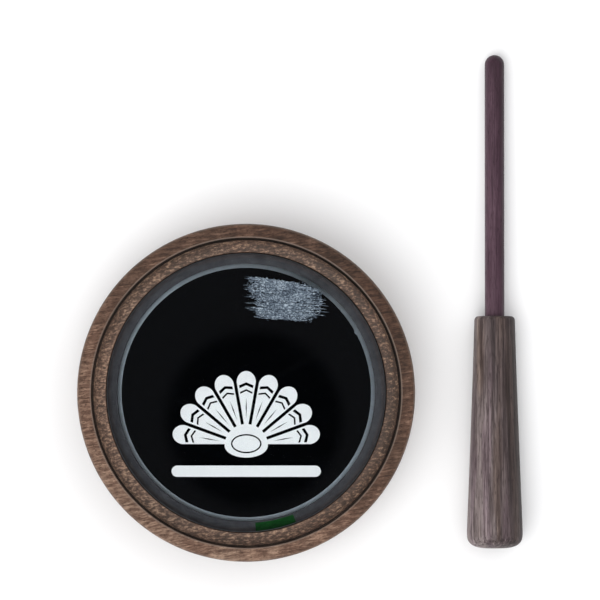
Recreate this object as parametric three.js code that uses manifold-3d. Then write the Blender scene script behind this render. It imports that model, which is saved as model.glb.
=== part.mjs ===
// Round friction turkey call ("pot call") with its striker lying beside it.
//
// Millimetres, +Z up. The pot stands on its underside and the striker lies on the same
// surface, its tip towards +Y. The origin is the middle of the whole footprint, on that surface.
// The pot, from the bottom up: a turned walnut pot with sound holes, a pedestal ring, the
// soundboard with its printed emblem, and the glass playing surface on a ledge under the rim.

import * as THREE from 'three';
import { mergeVertices } from 'three/addons/utils/BufferGeometryUtils.js';
import Module from 'manifold-3d';

const wasm = await Module();
wasm.setup();

const DEG = Math.PI / 180;

// ---------------------------------------------------------------- driving dimensions

// pot
const POT_RADIUS = 50.8;
const POT_HEIGHT = 24;
const FLOOR_THICKNESS = 5;
const OUTER_ROUND = 0.9; // round-over at the foot and at the outside of the rim
const RIM_INNER_RADIUS = 46.6; // inside of the rim, where its round-over ends
const RIM_ROUND = 0.5;
const GROOVE_WIDTH = 0.7; // fine groove between the rim and the cove
const GROOVE_DEPTH = 1.4; // below the rim's top
const COVE_DEPTH = 2.8; // hollow slope from the groove down to the glass
const COVE_TOP_DROP = 0.6; // the cove's upper edge, below the rim's top
const CHAMBER_RADIUS = 39.1;
const CHAMBER_FILLET = 1;

// sound holes through the floor: one in the middle and eight on a circle
const HOLE_RADIUS = 3.4;
const HOLE_COUNT = 8;
const HOLE_CIRCLE_RADIUS = 34.3;
const HOLE_START_ANGLE = 14.8 * DEG;

// discs in the pot
const GLASS_RADIUS = 42;
const GLASS_THICKNESS = 3;
const GLASS_ARRIS = 0.3; // small chamfer on the glass's edges
const GLASS_CLEARANCE = 0.3; // all round, in its recess
const GLASS_BELOW_RIM = 3.5; // from the rim's top to the playing face
const SOUNDBOARD_RADIUS = 38.8;
const SOUNDBOARD_THICKNESS = 3;
const SOUNDBOARD_BEVEL = 1.2;
const AIR_GAP = 2; // between the soundboard and the glass

// pieces that carry the discs
const PEDESTAL_OUTER_RADIUS = 22;
const PEDESTAL_INNER_RADIUS = 16;
const GLUE_THICKNESS = 0.2;
const GLUE_INSET = 0.8; // the glue stops this far from its pedestal's edges
const SURFACE_GLUE_INSET = 0.15; // and this far from the ledge's edges
const MARKER_THICKNESS = 0.1; // green patch under the glass, on the ledge
const MARKER_START_ANGLE = -86 * DEG;
const MARKER_END_ANGLE = -69 * DEG;
const FIT = 0.05; // between faces that rest on each other

// printed emblem: a fan of tail feathers over a plain bar
const PRINT_THICKNESS = 0.1;
const FAN_CENTRE_Y = -16;
const FAN_RADIUS = 22.5;
const FEATHER_COUNT = 9;
const FEATHER_GAP = 0.9;
const FEATHER_TIP_LENGTH = 3.3; // the rounded end
const FAN_HUB_RADIUS = 6.5;
const FAN_HUB_DROP = 3.6; // how far the hub bulges below the feathers
const BAR_LENGTH = 45;
const BAR_WIDTH = 3.4;
const BAR_CENTRE_Y = -23.7;

// striker, measured along its own axis from the butt of the handle
const STRIKER_LENGTH = 149.4;
const SHAFT_RADIUS = 2.95;
const BORE_RADIUS = 3.2;
const BORE_START = 44.7; // bottom of the handle's blind bore
const SHAFT_START = 45;
const HANDLE_LENGTH = 70.2;
const HANDLE_BUTT_RADIUS = 5.6;
const HANDLE_BUTT_ROUND = 2.6;
const HANDLE_THICK_AT = 5.2;
const HANDLE_THICK_RADIUS = 8.45;
const HANDLE_THIN_AT = 69.3;
const HANDLE_THIN_RADIUS = 6.15;
const HANDLE_MOUTH_RADIUS = 5.5;
const HANDLE_TAPER_POWER = 1.12; // a little over 1 leaves the long taper slightly hollow

// where the striker lies, from the pot's axis
const STRIKER_OFFSET_X = 75.1;
const STRIKER_BUTT_Y = -47.2;

// facets
const POT_SEGMENTS = 64;
const HOLE_SEGMENTS = 20;
const STRIKER_SEGMENTS = 24;
const ARC_STEPS = 4;
const COVE_STEPS = 6;
const TAPER_STEPS = 8;
const SHAFT_TIP_STEPS = 8;
const FEATHER_TIP_STEPS = 10;
const FAN_HUB_STEPS = 12;
const BAR_END_STEPS = 8;
const MERGE_DISTANCE = 1e-4; // corners closer than this are one corner

// ---------------------------------------------------------------- derived heights

const glassTop = POT_HEIGHT - GLASS_BELOW_RIM;
const glassBottom = glassTop - GLASS_THICKNESS;
const markerBottom = glassBottom - FIT - MARKER_THICKNESS;
const surfaceGlueTop = markerBottom - FIT;
const ledgeHeight = surfaceGlueTop - GLUE_THICKNESS - FIT;
const recessRadius = GLASS_RADIUS + GLASS_CLEARANCE;
const soundboardTop = glassBottom - AIR_GAP;
const soundboardBottom = soundboardTop - SOUNDBOARD_THICKNESS;
const pedestalTop = soundboardBottom - FIT - GLUE_THICKNESS - FIT;

// ---------------------------------------------------------------- materials

const finish = (color, roughness, metalness = 0) =>
  new THREE.MeshStandardMaterial({ color, roughness, metalness });

const materials = {
  pot: finish(0x5f4a3d, 0.5),
  pedestal: finish(0xb79a72, 0.7),
  boardGlue: finish(0xd8d4c4, 0.45),
  soundboard: finish(0x0c0e12, 0.12),
  print: finish(0xf4f5f6, 0.4),
  surfaceGlue: finish(0x44444a, 0.4),
  marker: finish(0x1c4a26, 0.6),
  glass: finish(0xc9d6dc, 0.04),
  shaft: finish(0x573f49, 0.45),
  handle: finish(0x625550, 0.55),
};
materials.glass.transparent = true;
materials.glass.opacity = 0.35;

// ---------------------------------------------------------------- solids

// A closed solid from a three.js geometry, with shared corners merged. A lathe has
// triangles of no area where its profile meets the axis, and they are left out.
function toSolid(geometry) {
  geometry.deleteAttribute('normal');
  geometry.deleteAttribute('uv');
  const merged = mergeVertices(geometry, MERGE_DISTANCE);
  const corners = merged.index.array;
  const kept = [];
  for (let i = 0; i < corners.length; i += 3) {
    const [a, b, c] = corners.subarray(i, i + 3);
    if (a !== b && b !== c && c !== a) kept.push(a, b, c);
  }
  const vertProperties = merged.attributes.position.array;
  const triVerts = new Uint32Array(kept);
  return new wasm.Manifold(new wasm.Mesh({ numProp: 3, vertProperties, triVerts }));
}

function meshOf(name, solid, material) {
  const { vertProperties, triVerts } = solid.getMesh();
  const geometry = new THREE.BufferGeometry();
  geometry.setAttribute('position', new THREE.BufferAttribute(vertProperties, 3));
  geometry.setIndex(new THREE.BufferAttribute(triVerts, 1));
  geometry.computeVertexNormals();
  const mesh = new THREE.Mesh(geometry, material);
  mesh.name = name;
  return mesh;
}

// A profile of [radius, height] points turned about +Z. It runs up the outside.
function turned(profile, segments) {
  const points = profile.map(([radius, height]) => new THREE.Vector2(radius, height));
  return toSolid(new THREE.LatheGeometry(points, segments).rotateX(90 * DEG));
}

// Points on an ellipse about a centre, from one angle to another.
function arc([centreX, centreY], [radiusX, radiusY], start, end, steps = ARC_STEPS) {
  return Array.from({ length: steps + 1 }, (_, step) => {
    const angle = start + ((end - start) * step) / steps;
    return [centreX + radiusX * Math.cos(angle), centreY + radiusY * Math.sin(angle)];
  });
}

function ring(innerRadius, outerRadius, bottom, top) {
  const corners = [[innerRadius, bottom], [outerRadius, bottom], [outerRadius, top], [innerRadius, top]];
  return turned([...corners, corners[0]], POT_SEGMENTS);
}

// A flat outline of [x, y] points given thickness upwards from a height.
function plate(outline, bottom, thickness) {
  const shape = new THREE.Shape(outline.map(([x, y]) => new THREE.Vector2(x, y)));
  const geometry = new THREE.ExtrudeGeometry(shape, { depth: thickness, bevelEnabled: false });
  return toSolid(geometry.translate(0, 0, bottom));
}

// ---------------------------------------------------------------- pot

function potProfile() {
  const foot = arc([POT_RADIUS - OUTER_ROUND, OUTER_ROUND], [OUTER_ROUND, OUTER_ROUND], -90 * DEG, 0);
  const rimOutside = arc(
    [POT_RADIUS - OUTER_ROUND, POT_HEIGHT - OUTER_ROUND], [OUTER_ROUND, OUTER_ROUND], 0, 90 * DEG,
  );
  const rimInside = arc(
    [RIM_INNER_RADIUS + RIM_ROUND, POT_HEIGHT - RIM_ROUND], [RIM_ROUND, RIM_ROUND], 90 * DEG, 180 * DEG,
  );
  const grooveInnerRadius = RIM_INNER_RADIUS - GROOVE_WIDTH;
  const grooveFloor = POT_HEIGHT - GROOVE_DEPTH;
  // the cove is a quarter of an ellipse, steep at the groove and level where it meets the glass
  const coveTop = POT_HEIGHT - COVE_TOP_DROP;
  const cove = arc(
    [recessRadius, coveTop], [grooveInnerRadius - recessRadius, COVE_DEPTH], 0, -90 * DEG, COVE_STEPS,
  );
  const chamberFillet = arc(
    [CHAMBER_RADIUS - CHAMBER_FILLET, FLOOR_THICKNESS + CHAMBER_FILLET],
    [CHAMBER_FILLET, CHAMBER_FILLET], 0, -90 * DEG,
  );
  return [
    [0, 0], ...foot, ...rimOutside, ...rimInside,
    [RIM_INNER_RADIUS, grooveFloor], [grooveInnerRadius, grooveFloor],
    ...cove,
    [recessRadius, ledgeHeight], [CHAMBER_RADIUS, ledgeHeight],
    ...chamberFillet, [0, FLOOR_THICKNESS],
  ];
}

// A drill that passes right through the floor.
function soundHole(x, y) {
  const through = 2 * FLOOR_THICKNESS;
  const drill = new THREE.CylinderGeometry(HOLE_RADIUS, HOLE_RADIUS, through, HOLE_SEGMENTS);
  return toSolid(drill.rotateX(90 * DEG).translate(x, y, FLOOR_THICKNESS / 2));
}

function potBody() {
  let solid = turned(potProfile(), POT_SEGMENTS).subtract(soundHole(0, 0));
  for (let hole = 0; hole < HOLE_COUNT; hole += 1) {
    const angle = HOLE_START_ANGLE + (hole * 2 * Math.PI) / HOLE_COUNT;
    const x = HOLE_CIRCLE_RADIUS * Math.cos(angle);
    const y = HOLE_CIRCLE_RADIUS * Math.sin(angle);
    solid = solid.subtract(soundHole(x, y));
  }
  return solid;
}

// The soundboard has a ground bevel round its upper edge.
function soundboard() {
  return turned([
    [0, soundboardBottom], [SOUNDBOARD_RADIUS, soundboardBottom],
    [SOUNDBOARD_RADIUS, soundboardTop - SOUNDBOARD_BEVEL],
    [SOUNDBOARD_RADIUS - SOUNDBOARD_BEVEL, soundboardTop], [0, soundboardTop],
  ], POT_SEGMENTS);
}

function playingSurface() {
  return turned([
    [0, glassBottom], [GLASS_RADIUS - GLASS_ARRIS, glassBottom],
    [GLASS_RADIUS, glassBottom + GLASS_ARRIS], [GLASS_RADIUS, glassTop - GLASS_ARRIS],
    [GLASS_RADIUS - GLASS_ARRIS, glassTop], [0, glassTop],
  ], POT_SEGMENTS);
}

const surfaceGlueInner = CHAMBER_RADIUS + SURFACE_GLUE_INSET;
const surfaceGlueOuter = recessRadius - SURFACE_GLUE_INSET;

function greenMarker() {
  const sweep = [MARKER_START_ANGLE, MARKER_END_ANGLE];
  const outer = arc([0, 0], [surfaceGlueOuter, surfaceGlueOuter], sweep[0], sweep[1]);
  const inner = arc([0, 0], [surfaceGlueInner, surfaceGlueInner], sweep[1], sweep[0]);
  return plate([...outer, ...inner], markerBottom, MARKER_THICKNESS);
}

// Feathers spread over half a turn. Each widens outwards, with the same gap to the next one,
// and ends in half an ellipse. They grow from a hub that bulges below them.
function fanOutline() {
  const pitch = Math.PI / FEATHER_COUNT;
  const halfWidth = (radius) => radius * Math.sin(pitch / 2) - FEATHER_GAP / 2;
  const tipStart = FAN_RADIUS - FEATHER_TIP_LENGTH;
  const tip = arc(
    [tipStart, 0], [FEATHER_TIP_LENGTH, halfWidth(tipStart)], -90 * DEG, 90 * DEG, FEATHER_TIP_STEPS,
  );
  const root = halfWidth(FAN_HUB_RADIUS);
  const feather = [[FAN_HUB_RADIUS, -root], ...tip, [FAN_HUB_RADIUS, root]];
  const outline = [];
  for (let index = 0; index < FEATHER_COUNT; index += 1) {
    const angle = (index + 0.5) * pitch;
    for (const [along, across] of feather) {
      outline.push([
        along * Math.cos(angle) - across * Math.sin(angle),
        along * Math.sin(angle) + across * Math.cos(angle) + FAN_CENTRE_Y,
      ]);
    }
  }
  const hub = arc(
    [0, FAN_CENTRE_Y], [FAN_HUB_RADIUS, FAN_HUB_DROP], 180 * DEG, 360 * DEG, FAN_HUB_STEPS,
  );
  return [...outline, ...hub];
}

// A bar with round ends.
function barOutline() {
  const half = BAR_WIDTH / 2;
  const endX = BAR_LENGTH / 2 - half;
  return [
    ...arc([endX, BAR_CENTRE_Y], [half, half], -90 * DEG, 90 * DEG, BAR_END_STEPS),
    ...arc([-endX, BAR_CENTRE_Y], [half, half], 90 * DEG, 270 * DEG, BAR_END_STEPS),
  ];
}

const printBottom = soundboardTop + FIT;

const pot = new THREE.Group();
pot.add(
  meshOf('pot_body', potBody(), materials.pot),
  meshOf('pedestal_ring', ring(
    PEDESTAL_INNER_RADIUS, PEDESTAL_OUTER_RADIUS, FLOOR_THICKNESS + FIT, pedestalTop,
  ), materials.pedestal),
  meshOf('soundboard_glue', ring(
    PEDESTAL_INNER_RADIUS + GLUE_INSET, PEDESTAL_OUTER_RADIUS - GLUE_INSET,
    pedestalTop + FIT, soundboardBottom - FIT,
  ), materials.boardGlue),
  meshOf('soundboard', soundboard(), materials.soundboard),
  meshOf('emblem_fan', plate(fanOutline(), printBottom, PRINT_THICKNESS), materials.print),
  meshOf('emblem_bar', plate(barOutline(), printBottom, PRINT_THICKNESS), materials.print),
  meshOf('surface_glue', ring(
    surfaceGlueInner, surfaceGlueOuter, ledgeHeight + FIT, surfaceGlueTop,
  ), materials.surfaceGlue),
  meshOf('green_marker', greenMarker(), materials.marker),
  meshOf('playing_surface', playingSurface(), materials.glass),
);

// ---------------------------------------------------------------- striker

// Both pieces are turned about the striker's own axis, with the butt at the origin.
function handle() {
  const butt = arc(
    [HANDLE_BUTT_RADIUS, HANDLE_BUTT_ROUND], [HANDLE_BUTT_ROUND, HANDLE_BUTT_ROUND], -90 * DEG, 0,
  );
  const taper = Array.from({ length: TAPER_STEPS + 1 }, (_, step) => {
    const along = step / TAPER_STEPS;
    const swell = (1 - along) ** HANDLE_TAPER_POWER;
    return [
      HANDLE_THIN_RADIUS + (HANDLE_THICK_RADIUS - HANDLE_THIN_RADIUS) * swell,
      HANDLE_THICK_AT + (HANDLE_THIN_AT - HANDLE_THICK_AT) * along,
    ];
  });
  return turned([
    [0, 0], ...butt, ...taper,
    [HANDLE_MOUTH_RADIUS, HANDLE_LENGTH], [BORE_RADIUS, HANDLE_LENGTH],
    [BORE_RADIUS, BORE_START], [0, BORE_START],
  ], STRIKER_SEGMENTS);
}

function shaft() {
  const tipCentre = STRIKER_LENGTH - SHAFT_RADIUS;
  const roundTip = arc([0, tipCentre], [SHAFT_RADIUS, SHAFT_RADIUS], 0, 90 * DEG, SHAFT_TIP_STEPS);
  return turned([[0, SHAFT_START], [SHAFT_RADIUS, SHAFT_START], ...roundTip], STRIKER_SEGMENTS);
}

// The handle lies on its taper, so the tip points down by the taper's angle.
const tilt = Math.atan(
  (HANDLE_THICK_RADIUS - HANDLE_THIN_RADIUS) / (HANDLE_THIN_AT - HANDLE_THICK_AT),
);
const axisHeightAtButt = (HANDLE_THICK_RADIUS + HANDLE_THICK_AT * Math.tan(tilt)) * Math.cos(tilt);

const striker = new THREE.Group();
striker.rotation.x = -90 * DEG - tilt;
striker.position.set(STRIKER_OFFSET_X, STRIKER_BUTT_Y, axisHeightAtButt);
striker.add(
  meshOf('striker_shaft', shaft(), materials.shaft),
  meshOf('striker_handle', handle(), materials.handle),
);

// ---------------------------------------------------------------- the call

const call = new THREE.Group();
call.add(pot, striker);
const centre = new THREE.Box3().setFromObject(call, true).getCenter(new THREE.Vector3());
call.position.set(-centre.x, -centre.y, 0);

export default call;
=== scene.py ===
"""Looks of the pot call and its striker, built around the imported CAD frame.

Lengths are in metres, written as millimetres times MM. Shaders work in millimetres. Turned
pieces are made about their own Z axis and then placed: the pot's pieces on the pot's axis, the
striker's on the striker's.
"""

import math
import random

import bmesh
import bpy
from mathutils import Matrix, Vector, noise

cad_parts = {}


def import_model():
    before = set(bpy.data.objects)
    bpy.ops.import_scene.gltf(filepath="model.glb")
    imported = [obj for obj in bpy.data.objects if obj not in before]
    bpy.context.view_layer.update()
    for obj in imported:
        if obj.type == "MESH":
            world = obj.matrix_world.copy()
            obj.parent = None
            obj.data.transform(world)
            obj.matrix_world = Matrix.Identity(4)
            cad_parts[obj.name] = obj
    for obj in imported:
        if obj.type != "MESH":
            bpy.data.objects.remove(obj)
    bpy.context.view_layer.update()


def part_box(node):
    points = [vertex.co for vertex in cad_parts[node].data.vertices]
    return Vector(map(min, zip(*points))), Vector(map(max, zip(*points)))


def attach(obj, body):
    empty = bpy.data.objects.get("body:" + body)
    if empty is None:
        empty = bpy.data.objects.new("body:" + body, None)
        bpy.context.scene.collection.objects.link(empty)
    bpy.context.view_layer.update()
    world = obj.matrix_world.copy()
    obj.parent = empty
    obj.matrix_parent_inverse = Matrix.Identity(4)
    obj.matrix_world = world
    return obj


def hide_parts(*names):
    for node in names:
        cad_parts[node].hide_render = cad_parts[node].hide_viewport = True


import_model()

MM = 0.001
DEG = math.pi / 180
QUARTER = 90 * DEG
HALF_TURN = 180 * DEG
FULL_TURN = 2 * math.pi
X, Y, Z = 0, 1, 2

# ------ dimensions

pot_low, pot_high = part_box("pot_body")
glass_low, glass_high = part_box("playing_surface")
board_low, board_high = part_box("soundboard")
pedestal_low, pedestal_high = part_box("pedestal_ring")
board_glue_low, board_glue_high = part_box("soundboard_glue")
bead_low, bead_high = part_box("surface_glue")
marker_low, marker_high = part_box("green_marker")
print_low, print_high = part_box("emblem_fan")

# pot
POT_AXIS = Vector(((pot_low.x + pot_high.x) / 2, (pot_low.y + pot_high.y) / 2, 0))
POT_RADIUS = (pot_high.x - pot_low.x) / 2
POT_HEIGHT = pot_high.z
FLOOR_THICKNESS = 5 * MM
OUTER_ROUND = 0.9 * MM
RIM_INNER_RADIUS = 46.6 * MM
RIM_ROUND = 0.5 * MM
GROOVE_WIDTH = 0.7 * MM
GROOVE_INNER_RADIUS = RIM_INNER_RADIUS - GROOVE_WIDTH
GROOVE_DEPTH = 1.4 * MM
GROOVE_ROUND = 0.2 * MM
COVE_DEPTH = 2.8 * MM
COVE_TOP_DROP = 0.6 * MM
COVE_FOOT = POT_HEIGHT - COVE_TOP_DROP - COVE_DEPTH
CHAMBER_RADIUS = 39.1 * MM
CHAMBER_FILLET = 1 * MM

# sound holes: one in the middle and the others on a circle
HOLE_RADIUS = 3.4 * MM
HOLE_COUNT = 8
HOLE_CIRCLE_RADIUS = 34.3 * MM
HOLE_START_ANGLE = 14.8 * DEG
HOLE_EDGE_ROUND = 0.35 * MM
DRILL_REACH = 1 * MM
DRILL_SINK = 0.01 * MM

# discs, pedestal and glue
GLASS_RADIUS = (glass_high.x - glass_low.x) / 2
GLASS_ARRIS = 0.25 * MM
GLASS_CLEARANCE = 0.3 * MM
RECESS_RADIUS = GLASS_RADIUS + GLASS_CLEARANCE
BOARD_RADIUS = (board_high.x - board_low.x) / 2
BOARD_BEVEL = 1.2 * MM
BOARD_ARRIS = 0.2 * MM
BEVEL_MARGIN = 0.2 * MM
CHIP_ANGLE = 28.5 * DEG
CHIP_RADIUS = 0.7 * MM
CHIP_REACH = 1.5 * MM
CHIP_INWARDS = 0.014
CHIP_DROP = 0.12 * MM
PEDESTAL_RADIUS = (pedestal_high.x - pedestal_low.x) / 2
PEDESTAL_WALL = 6 * MM
PEDESTAL_ROUND = 0.5 * MM
GLUE_RADIUS = (board_glue_high.x - board_glue_low.x) / 2
GLUE_WIDTH = PEDESTAL_WALL - 1.6 * MM
GLUE_WAVINESS = 0.5 * MM
BEAD_RADIUS = (bead_high.x - bead_low.x) / 2
BEAD_WIDTH = BEAD_RADIUS - CHAMBER_RADIUS - 0.15 * MM
BEAD_SQUEEZE = 0.5 * MM
BEAD_WAVINESS = 0.15 * MM
GLUE_WAVES = 5
OUTER_EDGE_SEED = 7
LEDGE_HEIGHT = bead_low.z - 0.05 * MM
MARKER_START = -86 * DEG
MARKER_END = -69 * DEG

# printed emblem: a fan of tail feathers over a plain bar, places from the pot's axis
FAN_CENTRE_Y = -16 * MM
FAN_RADIUS = 22.5 * MM
FEATHER_COUNT = 9
FEATHER_GAP = 0.9 * MM
FEATHER_TIP_LENGTH = 3.3 * MM
QUILL_START = 8.2 * MM
QUILL_MIDDLE = 11.5 * MM
QUILL_END = 14.4 * MM
QUILL_HALF_WIDTH = 0.17 * MM
FEATHER_BARS = ((15.6 * MM, 0.55 * MM), (17.3 * MM, 0.9 * MM))
FEATHER_BAR_SAG = 0.9 * MM
FEATHER_BAR_REACH = 0.80
FAN_HUB_RADIUS = 6.5 * MM
FAN_HUB_DROP = 3.6 * MM
HUB_RING_RISE = 0.6 * MM
HUB_RING_RADII = (4.6 * MM, 2.9 * MM)
HUB_RING_WIDTH = 0.45 * MM
BAR_LENGTH = 45 * MM
BAR_WIDTH = 3.4 * MM
BAR_CENTRE_Y = -23.7 * MM

# striker, along its own axis from the butt of the handle
STRIKER_LENGTH = 149.4 * MM
SHAFT_RADIUS = 2.95 * MM
BORE_RADIUS = 3.2 * MM
BORE_START = 44.7 * MM
BORE_ARRIS = 0.15 * MM
SHAFT_START = 45 * MM
HANDLE_LENGTH = 70.2 * MM
HANDLE_THICK_AT = 5.2 * MM
HANDLE_THICK_RADIUS = 8.45 * MM
HANDLE_THIN_AT = 69.3 * MM
HANDLE_THIN_RADIUS = 6.15 * MM
HANDLE_TAPER_POWER = 1.12
SHOULDER_START = 68.8 * MM
SHOULDER_ROUND = 1.1 * MM
BUTT_SQUARENESS = 0.62
STRIKER_OFFSET = Vector((75.1 * MM, -47.2 * MM, 0))

# roughened patch of the glass, in millimetres from the pot's axis: its share from the far edge
# to the near edge, its left end and its right end
PATCH_ROWS = (
    (0.00, (-0.5, 35.0), (18.6, 32.3)),
    (0.22, (-0.9, 32.6), (23.2, 30.6)),
    (0.45, (-0.6, 29.8), (23.6, 28.2)),
    (0.62, (0.8, 27.4), (23.8, 26.2)),
    (0.82, (1.2, 24.8), (23.0, 23.9)),
    (1.00, (1.6, 22.9), (20.4, 21.5)),
)
LONG_STROKES = 330
SHORT_STROKES = 3000
# random sizes as shares of a row's length: a spread is a mean and a deviation, and the crowding
# is a power that draws long strokes towards the middle
LONG_CROWDING = 0.4
LONG_SHARES = (0.15, 0.7)
LEAST_SHARE = 0.06
LEFT_EDGE_SPREAD = (0.03, 0.07)
LEFT_EDGE_DEVIATION = 0.05
RIGHT_EDGE_SPREAD = (0.94, 0.06)
SHORT_SPREAD = (0.5, 0.25)
SHORT_FIRST = 0.07
SHORT_LAST = 0.93
REACHING_STARTS = (0.7, 0.85)
# sizes in millimetres
LONG_SLANT = 0.6
LONG_WIDTHS = (0.08, 0.12, 0.16, 0.22)
LONG_HEIGHTS = (0.02, 0.05)
LONG_BOW = 0.3
SHORT_SHIFT = 0.5
ROW_DEVIATION = 0.35
SHORT_LENGTHS = (0.15, 0.8)
SHORT_SLANTS = (-0.3, 0.25)
SHORT_WIDTHS = (0.08, 0.24)
SHORT_HEIGHTS = (0.02, 0.06)
REACHING_DROP = 0.2
REACHING_WIDTH = 0.16
REACHING_HEIGHT = 0.04
REACHING_BOW = 0.1
# single strokes past the patch's right end: their share from its far edge, and how far they go
REACHING_STROKES = (
    (0.47, 24.3), (0.56, 24.0), (0.62, 25.0), (0.70, 24.4), (0.78, 25.2), (0.86, 23.8), (0.30, 24.6),
)
# a stroke's width and height at places along it; its two ends are points
STROKE_SWELL = ((0.12, 0.8), (0.5, 1.0), (0.88, 0.8))
STROKE_SINK = 0.01 * MM

# facets
POT_SEGMENTS = 288
HOLE_SEGMENTS = 56
STRIKER_SEGMENTS = 96
OUTER_STEPS = 8
RIM_STEPS = 6
GROOVE_STEPS = 3
COVE_STEPS = 14
FILLET_STEPS = 5
PEDESTAL_STEPS = 5
HOLE_STEPS = 4
GLUE_EDGE_STEPS = 4
PRINT_STEPS = 20
FAN_HUB_STEPS = 32
HUB_RING_STEPS = 40
MARKER_STEPS = 24
BUTT_STEPS = 20
TAPER_STEPS = 24
SHOULDER_STEPS = 8
SHAFT_TIP_STEPS = 14
# angles past which an edge is sharp, and the Z of the normals of flat and of lower faces
POT_SHARP = 32 * DEG
DISC_SHARP = 20 * DEG
STRIKER_SHARP = 40 * DEG
GLUE_SHARP = 60 * DEG
FLAT_FACE = 0.99
DOWNWARD_FACE = -0.5

# camera and studio
FRAME_WIDTH = 180.9 * MM
FOCUS_HEIGHT = 15.5 * MM
VIEW_CENTRE = Vector((16.2 * MM, 27.9 * MM, 0))
LENS = 500
SENSOR_WIDTH = 36
CLIP_END = 50
FLOOR_HALF_SIZE = 6
FLOOR_DROP = 0.02 * MM
LENS_SEEN_AT = (-0.0055, -0.0143)
LENS_SEEN_RADIUS = 0.0106
SKY_LEVELS = ((0.0, 0.9), (0.2, 0.8), (0.55, 0.25), (0.9, 0.07), (1.0, 0.07))
SKY_BLUENESS = 1.08
SKY_STRENGTH = 0.5
LENS_STRENGTH = 0.04
LENS_SOFTNESS = 0.08
# where each light comes from, its strength and softness, and whether the glass mirrors it
SUNS = {
    "key": ((-0.44, -0.52, 1.0), 1.45, 60 * DEG, True),
    "overhead": ((0.0, 0.0, 1.0), 2.2, 100 * DEG, False),
    "fill": ((0.6, 0.6, 0.7), 0.45, 70 * DEG, True),
}

pot_place = Matrix.Translation(POT_AXIS)
striker_tilt = math.atan((HANDLE_THICK_RADIUS - HANDLE_THIN_RADIUS) / (HANDLE_THIN_AT - HANDLE_THICK_AT))
butt_height = (HANDLE_THICK_RADIUS + HANDLE_THICK_AT * math.tan(striker_tilt)) * math.cos(striker_tilt)
striker_place = Matrix.Translation(POT_AXIS + STRIKER_OFFSET + Vector((0, 0, butt_height)))
STRIKER_TURN = QUARTER + striker_tilt


# ------ shader building


class Nodes:
    """A node tree. Each method adds a node and gives back its output socket."""

    def __init__(self, tree):
        self.tree = tree
        self.tree.nodes.clear()

    def node(self, kind, inputs, output=0, **settings):
        made = self.tree.nodes.new("ShaderNode" + kind)
        for key, value in settings.items():
            setattr(made, key, value)
        for socket, value in inputs.items():
            if isinstance(value, bpy.types.NodeSocket):
                self.tree.links.new(value, made.inputs[socket])
            else:
                made.inputs[socket].default_value = value
        return made.outputs[output]

    def place(self, turn=(0, 0, 0)):
        """The piece's own coordinates in millimetres, turned by Euler angles."""
        own = self.node("TexCoord", {}, output="Object")
        return self.node("Mapping", {"Vector": own, "Scale": (1 / MM,) * 3, "Rotation": turn})

    def parts(self, vector):
        """The X, Y and Z of a vector."""
        return self.node("SeparateXYZ", {"Vector": vector}).node.outputs

    def stretched(self, vector, scale):
        return self.node("VectorMath", {0: vector, 1: scale}, operation="MULTIPLY")

    def moved(self, vector, by):
        return self.node("VectorMath", {0: vector, 1: by}, operation="ADD")

    def length(self, vector):
        return self.node("VectorMath", {0: vector}, output="Value", operation="LENGTH")

    def axis_distance(self, x, y):
        return self.length(self.node("CombineXYZ", {"X": x, "Y": y}))

    def noise(self, vector, stretch=None, scale=1.0, detail=2.0, roughness=0.5, distortion=0.0):
        if stretch:
            vector = self.stretched(vector, stretch)
        inputs = {"Vector": vector, "Scale": scale, "Detail": detail}
        inputs.update(Roughness=roughness, Distortion=distortion)
        return self.node("TexNoise", inputs)

    def maths(self, operation, first, second=0.0, third=0.0):
        return self.node("Math", {0: first, 1: second, 2: third}, operation=operation)

    def times(self, first, second):
        return self.maths("MULTIPLY", first, second)

    def off(self, value, middle):
        """How far a value is above a middle one."""
        return self.maths("ADD", value, -middle)

    def plus(self, total, *layers):
        """total + value * amount, for each (value, amount)"""
        for value, amount in layers:
            total = self.maths("MULTIPLY_ADD", value, amount, total)
        return total

    def tone(self, base, *layers):
        """A base tone varied by noises, which lie round 0.5, each by its own amount."""
        return self.plus(base - sum(amount for _, amount in layers) / 2, *layers)

    def remap(self, value, low, high, to_low=0.0, to_high=1.0, smooth=False):
        kind = "SMOOTHSTEP" if smooth else "LINEAR"
        inputs = {0: value, 1: low, 2: high, 3: to_low, 4: to_high}
        return self.node("MapRange", inputs, interpolation_type=kind)

    def fade(self, value, low, high):
        """0 at low and beyond it, 1 at high and beyond it, smooth between them."""
        return self.remap(value, low, high, smooth=True)

    def ring(self, radius, low, high, soft):
        """1 between two radii, fading out over a short way beside them."""
        off = self.maths("ABSOLUTE", self.off(radius, (low + high) / 2))
        half = (high - low) / 2
        return self.fade(off, half + soft, half)

    def ramp(self, value, stops):
        socket = self.node("ValToRGB", {"Fac": value})
        elements = socket.node.color_ramp.elements
        for index, (position, colour) in enumerate(stops):
            element = elements[index] if index < 2 else elements.new(position)
            element.position = position
            element.color = (*colour, 1)
        return socket

    def between(self, value, dark, pale):
        """Two colours with a soft change between them round 0.5, for a noise."""
        return self.ramp(value, [(0.3, dark), (0.7, pale)])

    def mix(self, factor, first, second, blend="MIX"):
        colours = [c if isinstance(c, bpy.types.NodeSocket) else (*c, 1) for c in (first, second)]
        inputs = {0: factor, 6: colours[0], 7: colours[1]}
        return self.node("Mix", inputs, output=2, data_type="RGBA", blend_type=blend)

    def covered(self, colour, mask, amount, cover, blend="MIX"):
        """A colour with a second one over it where the mask is 1."""
        return self.mix(self.times(mask, amount), colour, cover, blend)

    def bump(self, height, distance, strength=1.0):
        return self.node("Bump", {"Height": height, "Distance": distance, "Strength": strength})

    def end(self, kind, surface):
        """Joins a surface to a new output node."""
        out = self.tree.nodes.new("ShaderNodeOutput" + kind)
        self.tree.links.new(surface, out.inputs["Surface"])


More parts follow.
